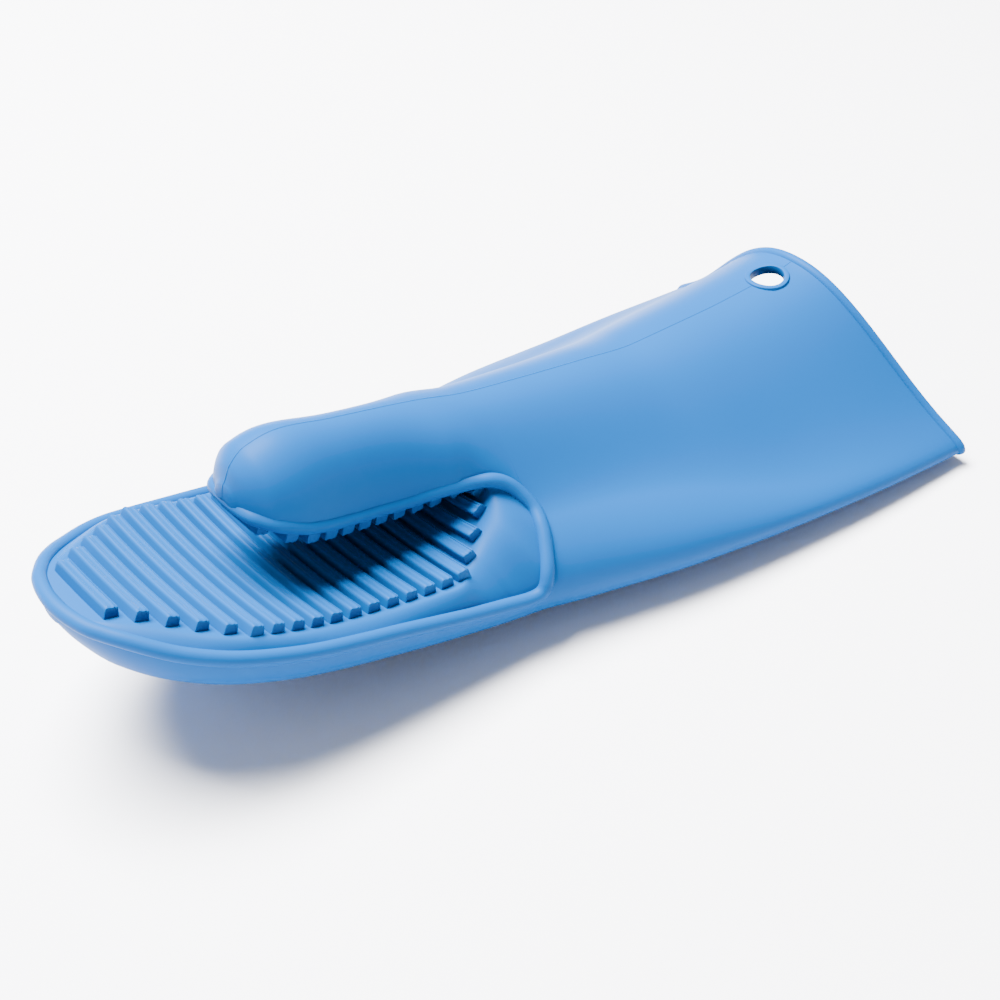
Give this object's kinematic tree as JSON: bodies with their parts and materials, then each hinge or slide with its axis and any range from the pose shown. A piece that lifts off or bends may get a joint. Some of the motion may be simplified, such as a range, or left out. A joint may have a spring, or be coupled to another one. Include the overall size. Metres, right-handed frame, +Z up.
{
  "type": "oven mitt",
  "caption": "Moulded silicone oven mitt with a ribbed finger pocket and thumb pocket, flared sleeve, beaded rims and a hanging hole.",
  "frame": {"origin": "on the surface that the mitt lies on, under the middle of its length, on the parting line's plane", "axes": "+X from the finger tip to the cuff, +Y to the left of that direction, +Z up; Y = 0 is the symmetry plane"},
  "size_m": [0.2989, 0.1366, 0.0763],
  "materials": {
    "silicone": "satin moulded silicone"
  },
  "bodies": {
    "mitt_body": {"crotch_bead_left": "silicone", "crotch_bead_right": "silicone", "cuff_rim": "silicone", "finger_back_shell": "silicone", "finger_bead": "silicone", "finger_grip_panel": "silicone", "finger_rib_01": "silicone", "finger_rib_02": "silicone", "finger_rib_03": "silicone", "finger_rib_04": "silicone", "finger_rib_05": "silicone", "finger_rib_06": "silicone", "finger_rib_07": "silicone", "finger_rib_08": "silicone", "finger_rib_09": "silicone", "finger_rib_10": "silicone", "finger_rib_11": "silicone", "finger_rib_12": "silicone", "finger_rib_13": "silicone", "finger_rib_14": "silicone", "finger_rib_15": "silicone", "finger_rib_16": "silicone", "finger_rib_17": "silicone", "finger_rib_18": "silicone", "hanging_eyelet": "silicone", "mouth_web": "silicone", "sleeve_back_wall": "silicone", "sleeve_palm_wall": "silicone", "thumb_root": "silicone", "thumb_root_panel": "silicone", "thumb_root_rib_01": "silicone", "thumb_root_rib_02": "silicone", "thumb_root_rib_03": "silicone", "web_rib_01": "silicone", "web_rib_02": "silicone", "web_rib_03": "silicone"},
    "thumb": {"thumb_bead": "silicone", "thumb_grip_panel": "silicone", "thumb_rib_01": "silicone", "thumb_rib_02": "silicone", "thumb_rib_03": "silicone", "thumb_rib_04": "silicone", "thumb_rib_05": "silicone", "thumb_rib_06": "silicone", "thumb_rib_07": "silicone", "thumb_rib_08": "silicone", "thumb_shell": "silicone"}
  },
  "joints": [
    {"name": "thumb_pinch", "type": "hinge", "parent": "mitt_body", "child": "thumb", "pos_m": [-0.023, 0, 0.048], "axis": [0, 1, 0], "range_deg": [-11, 24], "stiffness_Nm_per_rad": 0.4, "deforming": ["thumb_root", "thumb_root_panel", "mouth_web", "crotch_bead_left", "crotch_bead_right", "thumb_root_rib_01", "thumb_root_rib_02", "thumb_root_rib_03", "web_rib_01", "web_rib_02", "web_rib_03"]}
  ]
}
